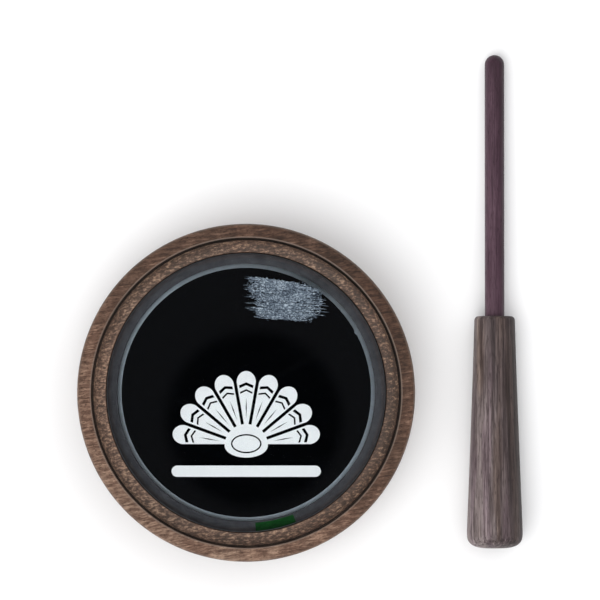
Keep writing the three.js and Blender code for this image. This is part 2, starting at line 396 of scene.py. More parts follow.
class Shader(Nodes):
    """One material's node tree."""

    def __init__(self, name):
        self.material = bpy.data.materials.new(name)
        self.material.use_nodes = True
        super().__init__(self.material.node_tree)

    def principled(self, **inputs):
        return self.node("BsdfPrincipled", {key.replace("_", " "): value for key, value in inputs.items()})

    def finish(self, surface):
        self.end("Material", surface)
        return self.material

    def coated(self, **inputs):
        """The finished material of a surface that needs only the one shading node."""
        return self.finish(self.principled(**inputs))


# ------ woods

POT_TONES = (
    (0.00, (0.024, 0.012, 0.007)),
    (0.36, (0.070, 0.036, 0.022)),
    (0.60, (0.122, 0.068, 0.045)),
    (1.00, (0.320, 0.212, 0.148)),
)
HANDLE_TONES = (
    (0.00, (0.018, 0.012, 0.012)),
    (0.36, (0.060, 0.043, 0.043)),
    (0.62, (0.118, 0.090, 0.088)),
    (1.00, (0.285, 0.235, 0.228)),
)
SHAFT_TONES = (
    (0.00, (0.018, 0.007, 0.011)),
    (0.38, (0.048, 0.022, 0.034)),
    (0.62, (0.084, 0.043, 0.061)),
    (1.00, (0.180, 0.112, 0.145)),
)


def wood_layers(shader, place, grain, fibre=2.3, fibre_along=0.11, pore=3.4, pore_along=0.8):
    """Fibres, open pores and slow clouds of solid wood, with the grain along one axis of place."""

    def drawn(along, across):
        scale = [across] * 3
        scale[grain] = along
        return scale

    fibres = shader.noise(place, drawn(fibre_along, fibre), detail=5, roughness=0.7, distortion=0.2)
    pits = shader.noise(place, drawn(pore_along, pore), detail=2, roughness=0.6)
    clouds = shader.noise(place, drawn(0.05, 0.17), detail=3, roughness=0.6)
    return fibres, shader.remap(pits, 0.54, 0.66), clouds


def wood_finish(shader, colour, fibres, pores, rough=(0.46, 0.60), depth=0.04):
    """Satin oiled surface: the pores are small open pits and a little rougher."""
    roughness = shader.plus(shader.remap(fibres, 0.3, 0.7, *rough), (pores, 0.14))
    height = shader.plus(shader.times(fibres, 0.35), (pores, -0.8))
    normal = shader.bump(height, distance=depth * MM, strength=0.8)
    return shader.coated(Base_Color=colour, Roughness=roughness, Normal=normal, Specular_IOR_Level=0.3)


def underside_figure(shader, place, colour):
    """The board's figure on the base: a red band, olive wood right of it, purple-brown left of
    it with tan streaks, and a tan knot near the left edge. It fades out up the wall."""
    x, y, z = shader.parts(place)
    wave = shader.noise(place, (0.10, 0.03, 0.05), detail=3)
    across = shader.plus(-1.5, (x, 1.0), (y, 0.0725), (wave, 3.0))
    band_end = 15.0
    reach = shader.fade(y, -38, -22)
    red = shader.times(shader.fade(across, -1.0, 5.0), shader.fade(across, band_end + 0.1, band_end - 0.4))
    line = shader.ring(across, band_end - 0.2, band_end, 0.3)
    streaks = shader.noise(place, (0.20, 0.022, 0.05), detail=3, roughness=0.65, distortion=0.8)
    swirl = shader.noise(place, scale=0.11, detail=4, roughness=0.65, distortion=1.2)
    from_knot = shader.length(shader.stretched(shader.moved(place, (42.0, -4.5, 0)), (0.10, 0.07, 0)))
    tints = [
        (0.80, shader.times(red, reach), (1.06, 0.78, 0.68)),
        (0.55, shader.fade(across, band_end - 1, band_end + 0.5), (1.02, 1.02, 0.90)),
        (0.60, shader.fade(across, 2.0, -8.0), (0.82, 0.76, 0.86)),
        (0.55, shader.fade(streaks, 0.50, 0.68), (1.5, 1.42, 1.28)),
        (0.80, shader.times(line, reach), (1.35, 1.30, 1.2)),
        (0.90, shader.fade(shader.plus(from_knot, (swirl, 0.9)), 1.40, 0.50), (1.9, 1.55, 1.15)),
    ]
    base = shader.fade(z, 7.0, 1.5)
    for amount, mask, tint in tints:
        colour = shader.covered(colour, shader.times(mask, base), amount, tint, "MULTIPLY")
    return colour


def pot_walnut():
    """Walnut with its grain along X and a figure of bands across it. The rim and the wall are
    painted paler towards the near left, the cove only towards the left: painted light, as if lit from there.
    The base is even."""
    shader = Shader("pot_walnut")
    place = shader.place()
    grain_place = shader.place(turn=(0, 0, -8 * DEG))
    fibres, pores, clouds = wood_layers(shader, grain_place, X, pore=3.1, pore_along=1.3)
    bands = shader.noise(place, (0.17, 0.022, 0.03), detail=3, roughness=0.6, distortion=0.6)
    streaks = shader.noise(grain_place, (0.22, 1.25, 1.25), detail=3, roughness=0.65, distortion=0.3)
    lines = shader.noise(grain_place, (0.03, 0.62, 0.62), detail=3, roughness=0.6, distortion=0.5)
    speckle = shader.noise(grain_place, (0.65, 1.3, 1.3), detail=4, roughness=0.75)

    # where on the pot a point lies
    x, y, z = shader.parts(place)
    radius = shader.axis_distance(x, y)
    outside, rim_inside, groove_inside = POT_RADIUS / MM, RIM_INNER_RADIUS / MM, GROOVE_INNER_RADIUS / MM
    above_base = shader.fade(z, 2.0, 12.0)
    top = shader.remap(z, COVE_FOOT / MM - 1.1, COVE_FOOT / MM - 0.6)
    cove = shader.times(shader.ring(radius, RECESS_RADIUS / MM + 0.2, groove_inside, 0.3), top)
    off_cove = shader.maths("SUBTRACT", 1.0, cove)
    wall = shader.fade(radius, outside - 0.5, outside - 0.05)
    outer_edge = shader.fade(radius, outside - 0.8, outside - 0.2)
    rim_top = shader.remap(z, POT_HEIGHT / MM - 0.6, POT_HEIGHT / MM - 0.4)
    inner_edge = shader.times(shader.ring(radius, rim_inside + 0.05, rim_inside + 0.35, 0.12), rim_top)
    deep = shader.times(shader.fade(z, POT_HEIGHT / MM - 0.7, POT_HEIGHT / MM - 1.2), top)
    groove = shader.times(shader.ring(radius, groove_inside - 0.02, rim_inside, 0.04), deep)

    tone = shader.tone(0.46, (fibres, 0.9), (bands, 0.6), (clouds, 0.4), (speckle, 0.7))
    streaked = shader.times(off_cove, shader.remap(z, 2.0, 12.0, 0.4, 1.4))
    tone = shader.plus(
        tone,
        (shader.times(streaked, shader.off(streaks, 0.5)), 1.0),
        (shader.times(cove, shader.off(speckle, 0.508)), 3.6),
        (shader.times(wall, shader.off(lines, 0.5)), 1.9),
        # painted light: paler towards -X and, off the cove, towards -Y, as if lit from the near left
        (shader.times(above_base, x), -0.0025),
        (shader.times(above_base, shader.times(off_cove, y)), -0.0038),
    )
    colour = shader.ramp(tone, POT_TONES)
    reddish = shader.remap(shader.noise(place, (0.06, 0.02, 0.03), detail=2), 0.45, 0.65)
    colour = shader.covered(colour, reddish, 0.35, (1.0, 0.80, 0.72), "MULTIPLY")
    colour = underside_figure(shader, place, colour)
    colour = shader.covered(colour, pores, 0.6, (0.016, 0.008, 0.005))

    # the cove is sanded greyer, with tan flecks; the rim's edges are paler, partly wear and partly painted
    # highlight on their round-overs; the groove's floor is painted dark, as painted shade
    flecks = shader.times(cove, shader.fade(speckle, 0.56, 0.66))
    # paler round-overs at the rim's outer and inner edges: partly wear, partly painted highlight
    wear_and_highlight = shader.plus(shader.times(outer_edge, 0.30), (inner_edge, 0.50))
    colour = shader.covered(colour, cove, 0.20, (0.150, 0.122, 0.102))
    colour = shader.covered(colour, flecks, 0.6, (0.33, 0.215, 0.130))
    colour = shader.mix(wear_and_highlight, colour, (0.24, 0.185, 0.150))
    # painted shade: the groove's floor is darkened, as if shaded by the groove's walls
    colour = shader.covered(colour, groove, 0.9, (0.006, 0.004, 0.003))
    return wood_finish(shader, colour, fibres, pores)


def handle_walnut():
    """Greyish walnut, straight-grained along the handle, paler towards the butt; painted light makes it
    paler at the left.
    """
    shader = Shader("handle_walnut")
    place = shader.place(turn=(STRIKER_TURN, 0, 0))
    grain_place = shader.place(turn=(STRIKER_TURN + 0.7 * DEG, 0.5 * DEG, 0))
    fibres, pores, clouds = wood_layers(
        shader, grain_place, Z, fibre=2.0, fibre_along=0.055, pore=3.4, pore_along=0.28
    )
    x, _, z = shader.parts(place)
    streaks = shader.noise(grain_place, (0.8, 0.8, 0.020), detail=3, roughness=0.6, distortion=0.3)
    ribbon = shader.noise(grain_place, (0.22, 0.22, 0.012), detail=2)
    tone = shader.tone(0.54, (fibres, 1.2), (clouds, 0.6), (streaks, 1.5))
    # painted light: -X makes the left side paler, as if lit from there; -Z makes it paler towards the butt
    tone = shader.plus(tone, (x, -0.055), (z, -0.0034))
    colour = shader.ramp(tone, HANDLE_TONES)
    colour = shader.covered(colour, shader.fade(ribbon, 0.50, 0.62), 0.7, (1.12, 1.02, 0.86), "MULTIPLY")
    colour = shader.covered(colour, shader.fade(ribbon, 0.46, 0.36), 0.7, (0.97, 0.88, 1.0), "MULTIPLY")
    colour = shader.covered(colour, pores, 0.55, (0.014, 0.009, 0.009))
    return wood_finish(shader, colour, fibres, pores, rough=(0.5, 0.64))


def purpleheart():
    """Dark purple-brown dowel with fine straight fibres, paler towards the handle; painted light makes it
    paler at the left.
    """
    shader = Shader("shaft_purpleheart")
    place = shader.place(turn=(STRIKER_TURN, 0, 0))
    grain_place = shader.place(turn=(STRIKER_TURN + 0.5 * DEG, -0.4 * DEG, 0))
    fibres, pores, clouds = wood_layers(
        shader, grain_place, Z, fibre=2.8, fibre_along=0.07, pore=4.2, pore_along=0.4
    )
    x, _, z = shader.parts(place)
    tone = shader.tone(0.68, (fibres, 1.1), (clouds, 0.5))
    # painted light: -X makes the left side paler, as if lit from there; -Z makes it paler towards the handle
    tone = shader.plus(tone, (x, -0.075), (z, -0.0024))
    colour = shader.ramp(tone, SHAFT_TONES)
    colour = shader.covered(colour, pores, 0.5, (0.016, 0.006, 0.010))
    return wood_finish(shader, colour, fibres, pores, rough=(0.42, 0.55), depth=0.02)


def maple():
    """Plain pale wood of the pedestal."""
    shader = Shader("pedestal_maple")
    place = shader.place()
    fibres, pores, clouds = wood_layers(shader, place, X, fibre=1.4, pore=5)
    tone = shader.tone(0.5, (fibres, 0.5), (clouds, 0.5))
    colour = shader.between(tone, (0.36, 0.23, 0.115), (0.56, 0.40, 0.235))
    colour = shader.covered(colour, pores, 0.2, (0.25, 0.14, 0.06))
    return wood_finish(shader, colour, fibres, pores, rough=(0.55, 0.7), depth=0.015)


# ------ glass, print and glue

BEVEL_TONES = ((0.37, 0.44, 0.50), (0.56, 0.64, 0.71))
SEAMED_TONES = ((0.030, 0.032, 0.036), (0.055, 0.058, 0.062))
SCUFF_TONES = (
    (0.39, (0.014, 0.023, 0.040)),
    (0.50, (0.085, 0.118, 0.158)),
    (0.65, (0.44, 0.52, 0.59)),
)


def clear_glass():
    """Clear plate glass with faint smears. Shadow rays pass straight through it."""
    shader = Shader("clear_glass")
    smears = shader.noise(shader.place(), (0.05, 0.16, 0.16), detail=4, roughness=0.7)
    roughness = shader.remap(smears, 0.45, 0.8, 0.0, 0.04)
    glass = shader.principled(
        Base_Color=(0.965, 0.985, 0.99, 1), Roughness=roughness, IOR=1.5, Transmission_Weight=1.0
    )
    clear = shader.node("BsdfTransparent", {"Color": (0.90, 0.92, 0.93, 1)})
    shadow_ray = shader.node("LightPath", {}, output="Is Shadow Ray")
    return shader.finish(shader.node("MixShader", {0: shadow_ray, 1: glass, 2: clear}))


def black_glass():
    """Polished black glass with specks of dust. Its back is matt."""
    shader = Shader("black_glass")
    place = shader.place()
    dust = shader.remap(shader.noise(place, scale=2.2, detail=2), 0.68, 0.74)
    colour = shader.covered((0.0004, 0.0006, 0.0009), dust, 0.25, (0.014, 0.016, 0.020))
    smears = shader.noise(place, (0.08, 0.2, 0.2), detail=3)
    _, _, z = shader.parts(place)
    back = shader.remap(z, board_low.z / MM + 0.2, board_low.z / MM + 0.1)
    roughness = shader.plus(shader.remap(smears, 0.3, 0.8, 0.01, 0.05), (back, 0.6))
    gloss = shader.plus(0.5, (back, -0.35))
    return shader.coated(Base_Color=colour, Roughness=roughness, Specular_IOR_Level=gloss)


def ground_edge(name, tones):
    """Ground glass: frosted, with grinding marks round it."""
    shader = Shader(name)
    place = shader.place()
    x, y, z = shader.parts(place)
    round_it = shader.times(shader.maths("ARCTAN2", y, x), 14)
    along_edge = shader.node("CombineXYZ", {"X": round_it, "Y": z})
    marks = shader.noise(along_edge, detail=5, roughness=0.7)
    grit = shader.noise(place, scale=3.5, detail=3)
    colour = shader.between(shader.tone(0.5, (marks, 0.6), (grit, 0.4)), *tones)
    normal = shader.bump(grit, distance=0.02 * MM, strength=0.6)
    return shader.coated(Base_Color=colour, Roughness=0.5, Normal=normal)


def grey_silicone():
    """Smoke-grey glue pressed between the glass and its ledge, browner along its outer edge."""
    shader = Shader("grey_silicone")
    place = shader.place()
    x, y, _ = shader.parts(place)
    wander = shader.noise(place, scale=0.09, detail=3)
    radius = shader.plus(shader.axis_distance(x, y), (wander, 1.6))
    outer = shader.fade(radius, 41.2, 41.9)
    clouds = shader.noise(place, scale=0.35, detail=4, roughness=0.6)
    inner_colour = shader.between(clouds, (0.027, 0.027, 0.032), (0.053, 0.053, 0.060))
    outer_colour = shader.between(clouds, (0.036, 0.031, 0.033), (0.068, 0.058, 0.061))
    colour = shader.mix(outer, inner_colour, outer_colour)
    normal = shader.bump(clouds, distance=0.05 * MM, strength=0.5)
    return shader.coated(Base_Color=colour, Roughness=0.5, Normal=normal, Specular_IOR_Level=0.3)


def clear_glue():
    """Cured glue, cloudy and yellowish."""
    shader = Shader("clear_glue")
    clouds = shader.noise(shader.place(), scale=0.6, detail=3)
    colour = shader.between(clouds, (0.50, 0.46, 0.34), (0.70, 0.67, 0.56))
    normal = shader.bump(clouds, distance=0.05 * MM)
    return shader.coated(Base_Color=colour, Roughness=0.35, Normal=normal)


def white_print():
    """Screen-printed white ink, very slightly uneven."""
    shader = Shader("white_print")
    ink = shader.noise(shader.place(), scale=1.5, detail=4, roughness=0.65)
    colour = shader.between(ink, (0.93, 0.94, 0.95), (0.98, 0.985, 0.99))
    normal = shader.bump(ink, distance=0.01 * MM, strength=0.5)
    return shader.coated(Base_Color=colour, Roughness=0.45, Normal=normal)


def green_paper():
    """Dull green paper, its fibres along X."""
    shader = Shader("green_paper")
    threads = shader.noise(shader.place(), (0.8, 2.2, 2.2), detail=4, roughness=0.6)
    colour = shader.between(threads, (0.002, 0.034, 0.005), (0.005, 0.066, 0.010))
    return shader.coated(Base_Color=colour, Roughness=0.7, Specular_IOR_Level=0.05)


def scuffed_glass():
    """Powdered glass in the strokes of the roughened patch."""
    shader = Shader("scuffed_glass")
    place = shader.place()
    fleck = shader.noise(place, (1.9, 2.6, 2.6), detail=3, roughness=0.75)
    broad = shader.noise(place, scale=0.25, detail=2)
    colour = shader.ramp(shader.tone(0.5, (fleck, 0.8), (broad, 0.2)), SCUFF_TONES)
    return shader.coated(Base_Color=colour, Roughness=0.6)


def pale_floor():
    """Plain, nearly white, with a barely visible mottle."""
    shader = Shader("pale_floor")
    mottle = shader.noise(shader.place(), scale=0.02, detail=2)
    colour = shader.between(mottle, (0.91, 0.91, 0.91), (0.93, 0.93, 0.93))
    return shader.coated(Base_Color=colour, Roughness=0.9, Specular_IOR_Level=0.1)


# ------ mesh building


def arc(centre, radii, start, end, steps):
    """Points on an ellipse about a centre, from one angle to another."""
    angles = [start + (end - start) * step / steps for step in range(steps + 1)]
    return [(centre[0] + radii[0] * math.cos(a), centre[1] + radii[1] * math.sin(a)) for a in angles]


def corner(centre, radius, start, end, steps):
    """Points on a circle about a centre."""
    return arc(centre, (radius, radius), start, end, steps)


def lathe(name, profile, segments):
    """A closed mesh from (radius, height) points turned about Z. The profile starts and ends on
    the axis, or else its last point joins its first."""
    build = bmesh.new()
    rings = []
    for radius, height in profile:
        count = segments if radius > 0 else 1
        angles = [FULL_TURN * step / segments for step in range(count)]
        rings.append([build.verts.new((radius * math.cos(a), radius * math.sin(a), height)) for a in angles])
    pairs = list(zip(rings, rings[1:]))
    if profile[0][0] > 0:
        pairs.append((rings[-1], rings[0]))
    for near, far in pairs:
        for step in range(segments):
            after = (step + 1) % segments
            corners = (
                near[step % len(near)], near[after % len(near)], far[after % len(far)], far[step % len(far)],
            )
            build.faces.new(dict.fromkeys(corners))
    return closed_mesh(name, build)


def closed_mesh(name, build):
    """A mesh from finished bmesh geometry, its faces turned outwards."""
    bmesh.ops.recalc_face_normals(build, faces=build.faces)
    mesh = bpy.data.meshes.new(name)
    build.to_mesh(mesh)
    build.free()
    return mesh


def smooth(mesh, angle):
    """Smooth shading, except across edges sharper than an angle."""
    mesh.shade_smooth()
    mesh.set_sharp_from_angle(angle=angle)


def printed_mesh(name, outlines, bottom, top):
    """Flat outlines with thickness. An outline inside another one is a window in it."""
    curve = bpy.data.curves.new(name, "CURVE")
    curve.dimensions = "2D"
    curve.fill_mode = "BOTH"
    curve.extrude = (top - bottom) / 2
    for outline in outlines:
        spline = curve.splines.new("POLY")
        spline.points.add(len(outline) - 1)
        for point, (x, y) in zip(spline.points, outline):
            point.co = (x, y, 0, 1)
        spline.use_cyclic_u = True
    holder = bpy.data.objects.new(name, curve)
    mesh = bpy.data.meshes.new_from_object(holder)
    bpy.data.objects.remove(holder)
    mesh.transform(Matrix.Translation((0, 0, (bottom + top) / 2)))
    build = bmesh.new()
    build.from_mesh(mesh)
    bmesh.ops.remove_doubles(build, verts=build.verts, dist=0.002 * MM)
    return closed_mesh(name, build)


def added(name, data):
    """A new object, in the scene."""
    made = bpy.data.objects.new(name, data)
    bpy.context.scene.collection.objects.link(made)
    return made


def piece(name, mesh, place, body, materials, replaces=()):
    """Puts a mesh in the scene as one piece of the object."""
    for material in materials:
        mesh.materials.append(material)
    made = added(name, mesh)
    made.matrix_world = place
    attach(made, body)
    if replaces:
        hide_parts(*replaces)
    return made


# ------ the pot


def pot_profile():
    """Half a section of the pot, from the middle hole's lower edge round to its upper edge."""
    outer, inner = POT_RADIUS - OUTER_ROUND, RIM_INNER_RADIUS + RIM_ROUND
    groove_floor = POT_HEIGHT - GROOVE_DEPTH + GROOVE_ROUND
    groove_far, groove_near = RIM_INNER_RADIUS - GROOVE_ROUND, GROOVE_INNER_RADIUS + GROOVE_ROUND
    hole, hole_top = HOLE_RADIUS + HOLE_EDGE_ROUND, FLOOR_THICKNESS - HOLE_EDGE_ROUND
    foot = corner((outer, OUTER_ROUND), OUTER_ROUND, -QUARTER, 0, OUTER_STEPS)
    rim_outside = corner((outer, POT_HEIGHT - OUTER_ROUND), OUTER_ROUND, 0, QUARTER, OUTER_STEPS)
    rim_inside = corner((inner, POT_HEIGHT - RIM_ROUND), RIM_ROUND, QUARTER, HALF_TURN, RIM_STEPS)
    groove = corner((groove_far, groove_floor), GROOVE_ROUND, 0, -QUARTER, GROOVE_STEPS)
    groove += corner((groove_near, groove_floor), GROOVE_ROUND, -QUARTER, -HALF_TURN, GROOVE_STEPS)
    cove = arc(
        (RECESS_RADIUS, POT_HEIGHT - COVE_TOP_DROP), (GROOVE_INNER_RADIUS - RECESS_RADIUS, COVE_DEPTH),
        0, -QUARTER, COVE_STEPS,
    )
    ledge = [(RECESS_RADIUS, LEDGE_HEIGHT), (CHAMBER_RADIUS, LEDGE_HEIGHT)]
    fillet = corner(
        (CHAMBER_RADIUS - CHAMBER_FILLET, FLOOR_THICKNESS + CHAMBER_FILLET), CHAMBER_FILLET,
        0, -QUARTER, FILLET_STEPS,
    )
    hole_start = corner((hole, HOLE_EDGE_ROUND), HOLE_EDGE_ROUND, -HALF_TURN, -QUARTER, HOLE_STEPS)
    hole_end = corner((hole, hole_top), HOLE_EDGE_ROUND, QUARTER, HALF_TURN, HOLE_STEPS)
    return hole_start + foot + rim_outside + rim_inside + groove + cove + ledge + fillet + hole_end


def drill_profile():
    """A drill through the floor, flared where it breaks through, to round the hole's edges."""
    flare = HOLE_EDGE_ROUND
    wide, flare_top = HOLE_RADIUS + flare, FLOOR_THICKNESS - flare + DRILL_SINK
    above = FLOOR_THICKNESS + DRILL_REACH / 2
    low = corner((wide, flare - DRILL_SINK), flare, -QUARTER, -HALF_TURN, HOLE_STEPS)
    top = corner((wide, flare_top), flare, HALF_TURN, QUARTER, HOLE_STEPS)
    return [(0, -DRILL_REACH), (wide, -DRILL_REACH)] + low + top + [(wide, above), (0, above)]


def drills():
    """Drills for the holes round the floor."""
    drill = lathe("drill", drill_profile(), HOLE_SEGMENTS)
    build = bmesh.new()
    for hole in range(HOLE_COUNT):
        angle = HOLE_START_ANGLE + hole * FULL_TURN / HOLE_COUNT
        centre = Vector((math.cos(angle), math.sin(angle), 0)) * HOLE_CIRCLE_RADIUS
        start = len(build.verts)
        build.from_mesh(drill)
        build.verts.ensure_lookup_table()
        bmesh.ops.translate(build, verts=build.verts[start:], vec=centre)
    bpy.data.meshes.remove(drill)
    return closed_mesh("drills", build)


def cut_out(name, mesh, cutter):
    """A mesh with another one cut out of it."""
    blank, tool = added("blank", mesh), added("cutter", cutter)
    cut = blank.modifiers.new("holes", "BOOLEAN")
    cut.operation = "DIFFERENCE"
    cut.solver = "EXACT"
    cut.object = tool
    bpy.context.view_layer.update()
    result = bpy.data.meshes.new_from_object(blank.evaluated_get(bpy.context.evaluated_depsgraph_get()))
    for made in (blank, tool):
        bpy.data.objects.remove(made)
    result.name = name
    return result


def pot_body():
    """The turned pot. Its middle hole is part of the turning, the others are drilled."""
    mesh = cut_out("turned_pot", lathe("pot_blank", pot_profile(), POT_SEGMENTS), drills())
    smooth(mesh, POT_SHARP)
    body = piece("turned_pot", mesh, pot_place, "pot", [pot_walnut()], ["pot_body"])
    weighted = body.modifiers.new("flat_faces_stay_flat", "WEIGHTED_NORMAL")
    weighted.keep_sharp = True


def pedestal():
    """The ring on the floor that carries the soundboard, its upper edges rounded."""
    inner, turn = PEDESTAL_RADIUS - PEDESTAL_WALL, PEDESTAL_ROUND
    low, shoulder = pedestal_low.z, pedestal_high.z - turn
    profile = [(inner, low), (PEDESTAL_RADIUS, low)]
    profile += corner((PEDESTAL_RADIUS - turn, shoulder), turn, 0, QUARTER, PEDESTAL_STEPS)
    profile += corner((inner + turn, shoulder), turn, QUARTER, HALF_TURN, PEDESTAL_STEPS)
    mesh = lathe("turned_pedestal", profile, POT_SEGMENTS // 2)
    smooth(mesh, POT_SHARP)
    piece("turned_pedestal", mesh, pot_place, "pot", [maple()], ["pedestal_ring"])


def glue_ring(name, outer, width, low, high, waviness, seed):
    """A flat ring of glue whose edges wander, as it was pressed out."""
    half = (high - low) / 2
    middle = (low + high) / 2
    profile = corner((outer - half, middle), half, -QUARTER, QUARTER, GLUE_EDGE_STEPS)
    profile += corner((outer - width + half, middle), half, QUARTER, 3 * QUARTER, GLUE_EDGE_STEPS)
    mesh = lathe(name, profile, POT_SEGMENTS)
    centre_line = outer - width / 2
    for vertex in mesh.vertices:
        radius = math.hypot(vertex.co.x, vertex.co.y)
        side = (radius - centre_line) / (width / 2)
        direction = Vector((vertex.co.x, vertex.co.y, 0)) / radius
        edge_seed = seed + (OUTER_EDGE_SEED if side > 0 else 0)
        wander = 0.5 + 0.5 * noise.noise(direction * GLUE_WAVES + Vector((0, 0, edge_seed)))
        vertex.co -= direction * side * wander * waviness
    smooth(mesh, GLUE_SHARP)
    return mesh


def pedestal_glue():
    """Glue between the pedestal and the soundboard."""
    mesh = glue_ring(
        "pedestal_glue", GLUE_RADIUS, GLUE_WIDTH,
        board_glue_low.z, board_glue_high.z, GLUE_WAVINESS, seed=3,
    )
    piece("pedestal_glue", mesh, pot_place, "pot", [clear_glue()], ["soundboard_glue"])


def silicone_bead():
    """The grey ring that holds the glass on its ledge, pressed out a little inwards."""
    mesh = glue_ring(
        "silicone_bead", BEAD_RADIUS, BEAD_WIDTH + BEAD_SQUEEZE,
        bead_low.z, bead_high.z, BEAD_WAVINESS, seed=11,
    )
    piece("silicone_bead", mesh, pot_place, "pot", [grey_silicone()], ["surface_glue"])


def chip(mesh, edge_radius, height):
    """Breaks a small flake off a disc's upper edge."""
    direction = Vector((math.cos(CHIP_ANGLE), math.sin(CHIP_ANGLE), 0))
    chip_at = direction * edge_radius + Vector((0, 0, height))
    for vertex in mesh.vertices:
        away = (vertex.co - chip_at).length
        if away < CHIP_RADIUS:
            vertex.co *= 1 - CHIP_INWARDS * (1 - away / CHIP_RADIUS)
            vertex.co.z = min(vertex.co.z, height - CHIP_DROP)


def soundboard():
    """Black glass disc. Its bevel is ground, and chipped in one place."""
    low, high = board_low.z, board_high.z
    bevel_top = BOARD_RADIUS - BOARD_BEVEL
    profile = [
        (0, low), (BOARD_RADIUS - BOARD_ARRIS, low), (BOARD_RADIUS, low + BOARD_ARRIS),
        (BOARD_RADIUS, high - BOARD_BEVEL), (bevel_top, high), (bevel_top - CHIP_REACH, high), (0, high),
    ]
    mesh = lathe("soundboard_disc", profile, POT_SEGMENTS)
    chip(mesh, bevel_top, high)
    smooth(mesh, DISC_SHARP)
    for face in mesh.polygons:
        outer = face.center.xy.length > bevel_top - BEVEL_MARGIN
        ground = outer and DOWNWARD_FACE < face.normal.z < FLAT_FACE
        face.material_index = 1 if ground else 0
    materials = [black_glass(), ground_edge("ground_bevel", BEVEL_TONES)]
    piece("soundboard_disc", mesh, pot_place, "pot", materials, ["soundboard"])


def playing_surface():
    """Clear glass disc with ground edges."""
    low, high, edge = glass_low.z, glass_high.z, GLASS_ARRIS
    profile = [
        (0, low), (GLASS_RADIUS - edge, low), (GLASS_RADIUS, low + edge),
        (GLASS_RADIUS, high - edge), (GLASS_RADIUS - edge, high), (0, high),
    ]
    mesh = lathe("glass_disc", profile, POT_SEGMENTS)
    smooth(mesh, DISC_SHARP)
    for face in mesh.polygons:
        face.material_index = 0 if abs(face.normal.z) > FLAT_FACE else 1
    materials = [clear_glass(), ground_edge("seamed_edge", SEAMED_TONES)]
    piece("glass_disc", mesh, pot_place, "pot", materials, ["playing_surface"])


# ------ emblem and marker


def fan_point(along, across, angle):
    """A point of the fan, given along and across a feather that stands at an angle."""
    x = along * math.cos(angle) - across * math.sin(angle)
    y = along * math.sin(angle) + across * math.cos(angle) + FAN_CENTRE_Y
    return (x, y)


def feather_half_width(radius):
    """Half a feather's width at a distance from the fan's centre."""
    return radius * math.sin(math.pi / FEATHER_COUNT / 2) - FEATHER_GAP / 2


def feather_outline():
    """One feather, from one side of its root round its tip to the other."""
    tip_start = FAN_RADIUS - FEATHER_TIP_LENGTH
    tip_radii = (FEATHER_TIP_LENGTH, feather_half_width(tip_start))
    tip = arc((tip_start, 0), tip_radii, -QUARTER, QUARTER, PRINT_STEPS)
    root = feather_half_width(FAN_HUB_RADIUS)
    return [(FAN_HUB_RADIUS, -root)] + tip + [(FAN_HUB_RADIUS, root)]


def feather_windows():
    """The unprinted parts of a feather: a slit for its quill and two bent bars near its tip."""
    windows = [[
        (QUILL_START, 0), (QUILL_MIDDLE, -QUILL_HALF_WIDTH),
        (QUILL_END, 0), (QUILL_MIDDLE, QUILL_HALF_WIDTH),
    ]]
    for start, width in FEATHER_BARS:
        near = [(start, -FEATHER_BAR_REACH), (start + FEATHER_BAR_SAG, 0), (start, FEATHER_BAR_REACH)]
        far = [(along + width, side) for along, side in reversed(near)]
        windows.append([(along, side * feather_half_width(along)) for along, side in near + far])
    return windows


def fan_outlines():
    """The fan's outline, a ring in its hub, and the windows in each feather."""
    feather, windows = feather_outline(), feather_windows()
    outline, holes = [], []
    for index in range(FEATHER_COUNT):
        angle = (index + 0.5) * math.pi / FEATHER_COUNT
        outline += [fan_point(along, across, angle) for along, across in feather]
        holes += [[fan_point(along, across, angle) for along, across in window] for window in windows]
    outline += arc(
        (0, FAN_CENTRE_Y), (FAN_HUB_RADIUS, FAN_HUB_DROP), HALF_TURN, FULL_TURN, FAN_HUB_STEPS
    )
    ring_centre = (0, FAN_CENTRE_Y + HUB_RING_RISE)
    rings = []
    for inset in (0, HUB_RING_WIDTH):
        radii = [radius - inset for radius in HUB_RING_RADII]
        rings.append(arc(ring_centre, radii, 0, FULL_TURN, HUB_RING_STEPS)[:-1])
    return [outline] + rings + holes


def bar_outline():
    """A plain bar with round ends."""
    half = BAR_WIDTH / 2
    end = BAR_LENGTH / 2 - half
    right = corner((end, BAR_CENTRE_Y), half, -QUARTER, QUARTER, PRINT_STEPS)
    left = corner((-end, BAR_CENTRE_Y), half, QUARTER, 3 * QUARTER, PRINT_STEPS)
    return right + left


def emblem():
    """The fan and the bar, printed in white on the soundboard."""
    ink = white_print()
    fan = printed_mesh("printed_fan", fan_outlines(), print_low.z, print_high.z)
    bar = printed_mesh("printed_bar", [bar_outline()], print_low.z, print_high.z)
    piece("printed_fan", fan, pot_place, "pot", [ink], ["emblem_fan"])
    piece("printed_bar", bar, pot_place, "pot", [ink], ["emblem_bar"])


def green_label():
    """A short green arc under the glass at its near edge."""
    inner = BEAD_RADIUS - BEAD_WIDTH
    outline = corner((0, 0), BEAD_RADIUS, MARKER_START, MARKER_END, MARKER_STEPS)
    outline += corner((0, 0), inner, MARKER_END, MARKER_START, MARKER_STEPS)
    mesh = printed_mesh("green_label", [outline], marker_low.z, marker_high.z)
    piece("green_label", mesh, pot_place, "pot", [green_paper()], ["green_marker"])


# ------ roughened patch of the glass


def row_at(share):
    """The patch's left and right end at a share of the way from its far edge to its near edge."""
    for (low, left_a, right_a), (high, left_b, right_b) in zip(PATCH_ROWS, PATCH_ROWS[1:]):
        if share <= high:
            part = (share - low) / (high - low)
            left = Vector(left_a).lerp(Vector(left_b), part)
            right = Vector(right_a).lerp(Vector(right_b), part)
            return left, right


